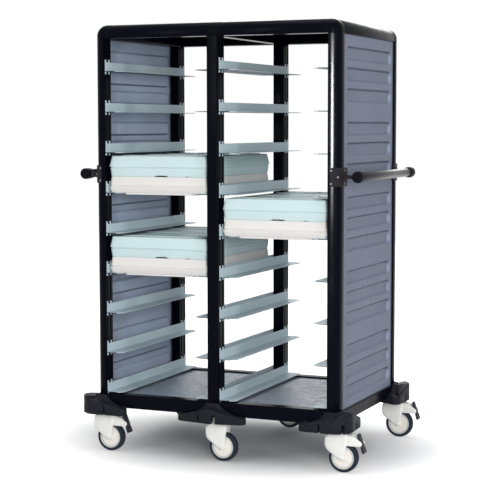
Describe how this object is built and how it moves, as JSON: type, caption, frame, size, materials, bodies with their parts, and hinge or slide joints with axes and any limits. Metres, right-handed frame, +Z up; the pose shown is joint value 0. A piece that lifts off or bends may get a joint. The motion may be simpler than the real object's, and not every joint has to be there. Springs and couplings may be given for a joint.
{
  "type": "meal tray cart",
  "caption": "Open-fronted meal tray cart: two columns of L-shaped tray slides in a black frame, grey side panels, push bars, bumpers, swivel casters and insulated trays.",
  "frame": {"origin": "on the floor under the middle of the cart", "axes": "+Z up, +X to the cart's right, -Y out of the open front that faces the person who loads it"},
  "size_m": [1.0645, 0.742, 1.487],
  "materials": {
    "frame_black": "glossy near-black powder coat",
    "cap_black": "moulded glossy black plastic",
    "floor_grey": "light grey sheet with fine ridges",
    "roof_black": "satin black sheet",
    "panel_grey": "satin grey thermoformed sheet",
    "slide_green": "grey-green powder coat",
    "bumper_charcoal": "matt charcoal moulded plastic",
    "handle_bronze": "dark bronze anodised tube",
    "handle_black": "black moulded plastic",
    "bracket_dark": "dark grey-brown moulded plastic",
    "steel": "zinc-plated steel",
    "housing_white": "glossy off-white moulded plastic",
    "hub_cream": "cream moulded plastic",
    "tyre_slate": "slate-grey rubber",
    "pedal_grey": "dark grey moulded plastic",
    "tray_white": "warm off-white insulated plastic",
    "lid_aqua": "pale aqua insulated plastic"
  },
  "bodies": {
    "cart": {"post_front_left": "frame_black", "post_front_middle": "frame_black", "post_front_right": "frame_black", "post_back_left": "frame_black", "post_back_middle": "frame_black", "post_back_right": "frame_black", "top_rail_front": "frame_black", "top_rail_back": "frame_black", "top_side_rails": "frame_black", "top_middle_rail": "frame_black", "top_corner_caps": "cap_black", "top_tee_caps": "cap_black", "base_rail_front": "frame_black", "base_rail_back": "frame_black", "base_cross_rails": "frame_black", "floor_sheets": "floor_grey", "roof_sheet": "roof_black", "side_panel_left": "panel_grey", "side_panel_right": "panel_grey", "slides_left_outer": "slide_green", "slides_left_inner": "slide_green", "slides_right_inner": "slide_green", "slides_right_outer": "slide_green", "corner_bumpers": "bumper_charcoal", "middle_bumpers": "bumper_charcoal", "handle_bar_left": "handle_bronze", "handle_bar_right": "handle_bronze", "handle_end_caps": "handle_black", "handle_brackets": "bracket_dark", "bracket_screws": "steel", "caster_stems": "steel"},
    "swivel_front_left": {"housing_front_left": "housing_white"},
    "wheel_front_left": {"hub_front_left": "hub_cream", "tyre_front_left": "tyre_slate"},
    "brake_front_left": {"pedal_front_left": "pedal_grey"},
    "swivel_front_middle": {"housing_front_middle": "housing_white"},
    "wheel_front_middle": {"hub_front_middle": "hub_cream", "tyre_front_middle": "tyre_slate"},
    "swivel_front_right": {"housing_front_right": "housing_white"},
    "wheel_front_right": {"hub_front_right": "hub_cream", "tyre_front_right": "tyre_slate"},
    "brake_front_right": {"pedal_front_right": "pedal_grey"},
    "swivel_back_left": {"housing_back_left": "housing_white"},
    "wheel_back_left": {"hub_back_left": "hub_cream", "tyre_back_left": "tyre_slate"},
    "brake_back_left": {"pedal_back_left": "pedal_grey"},
    "swivel_back_middle": {"housing_back_middle": "housing_white"},
    "wheel_back_middle": {"hub_back_middle": "hub_cream", "tyre_back_middle": "tyre_slate"},
    "swivel_back_right": {"housing_back_right": "housing_white"},
    "wheel_back_right": {"hub_back_right": "hub_cream", "tyre_back_right": "tyre_slate"},
    "brake_back_right": {"pedal_back_right": "pedal_grey"},
    "tray_lower_left": {"tray_base_lower_left": "tray_white"},
    "lid_lower_left": {"tray_lid_lower_left": "lid_aqua"},
    "tray_upper_left": {"tray_base_upper_left": "tray_white"},
    "lid_upper_left": {"tray_lid_upper_left": "lid_aqua"},
    "tray_right": {"tray_base_right": "tray_white"},
    "lid_right": {"tray_lid_right": "lid_aqua"}
  },
  "joints": [
    {"name": "caster_swivel_front_left", "type": "hinge", "parent": "cart", "child": "swivel_front_left", "pos_m": [-0.433, -0.308, 0.132], "axis": [0, 0, 1], "continuous": true},
    {"name": "wheel_roll_front_left", "type": "hinge", "parent": "swivel_front_left", "child": "wheel_front_left", "pos_m": [-0.399, -0.308, 0.05], "axis": [0, 1, 0], "continuous": true},
    {"name": "brake_pedal_front_left", "type": "hinge", "parent": "swivel_front_left", "child": "brake_front_left", "pos_m": [-0.353, -0.308, 0.1], "axis": [0, 1, 0], "range_deg": [0, 16]},
    {"name": "caster_swivel_front_middle", "type": "hinge", "parent": "cart", "child": "swivel_front_middle", "pos_m": [0, -0.308, 0.132], "axis": [0, 0, 1], "continuous": true},
    {"name": "wheel_roll_front_middle", "type": "hinge", "parent": "swivel_front_middle", "child": "wheel_front_middle", "pos_m": [0.034, -0.308, 0.05], "axis": [0, 1, 0], "continuous": true},
    {"name": "caster_swivel_front_right", "type": "hinge", "parent": "cart", "child": "swivel_front_right", "pos_m": [0.433, -0.308, 0.132], "axis": [0, 0, 1], "continuous": true},
    {"name": "wheel_roll_front_right", "type": "hinge", "parent": "swivel_front_right", "child": "wheel_front_right", "pos_m": [0.467, -0.308, 0.05], "axis": [0, 1, 0], "continuous": true},
    {"name": "brake_pedal_front_right", "type": "hinge", "parent": "swivel_front_right", "child": "brake_front_right", "pos_m": [0.513, -0.308, 0.1], "axis": [0, 1, 0], "range_deg": [0, 16]},
    {"name": "caster_swivel_back_left", "type": "hinge", "parent": "cart", "child": "swivel_back_left", "pos_m": [-0.433, 0.308, 0.132], "axis": [0, 0, 1], "continuous": true},
    {"name": "wheel_roll_back_left", "type": "hinge", "parent": "swivel_back_left", "child": "wheel_back_left", "pos_m": [-0.399, 0.308, 0.05], "axis": [0, 1, 0], "continuous": true},
    {"name": "brake_pedal_back_left", "type": "hinge", "parent": "swivel_back_left", "child": "brake_back_left", "pos_m": [-0.353, 0.308, 0.1], "axis": [0, 1, 0], "range_deg": [0, 16]},
    {"name": "caster_swivel_back_middle", "type": "hinge", "parent": "cart", "child": "swivel_back_middle", "pos_m": [0, 0.308, 0.132], "axis": [0, 0, 1], "continuous": true},
    {"name": "wheel_roll_back_middle", "type": "hinge", "parent": "swivel_back_middle", "child": "wheel_back_middle", "pos_m": [0.034, 0.308, 0.05], "axis": [0, 1, 0], "continuous": true},
    {"name": "caster_swivel_back_right", "type": "hinge", "parent": "cart", "child": "swivel_back_right", "pos_m": [0.433, 0.308, 0.132], "axis": [0, 0, 1], "continuous": true},
    {"name": "wheel_roll_back_right", "type": "hinge", "parent": "swivel_back_right", "child": "wheel_back_right", "pos_m": [0.467, 0.308, 0.05], "axis": [0, 1, 0], "continuous": true},
    {"name": "brake_pedal_back_right", "type": "hinge", "parent": "swivel_back_right", "child": "brake_back_right", "pos_m": [0.513, 0.308, 0.1], "axis": [0, 1, 0], "range_deg": [0, 16]},
    {"name": "tray_slide_lower_left", "type": "slide", "parent": "cart", "child": "tray_lower_left", "axis": [0, -1, 0], "range_m": [-0.05, 0.4]},
    {"name": "lid_lift_lower_left", "type": "slide", "parent": "tray_lower_left", "child": "lid_lower_left", "axis": [0, 0, 1], "range_m": [0, 0.007]},
    {"name": "tray_slide_upper_left", "type": "slide", "parent": "cart", "child": "tray_upper_left", "axis": [0, -1, 0], "range_m": [-0.05, 0.4]},
    {"name": "lid_lift_upper_left", "type": "slide", "parent": "tray_upper_left", "child": "lid_upper_left", "axis": [0, 0, 1], "range_m": [0, 0.007]},
    {"name": "tray_slide_right", "type": "slide", "parent": "cart", "child": "tray_right", "axis": [0, -1, 0], "range_m": [-0.05, 0.4]},
    {"name": "lid_lift_right", "type": "slide", "parent": "tray_right", "child": "lid_right", "axis": [0, 0, 1], "range_m": [0, 0.007]}
  ]
}
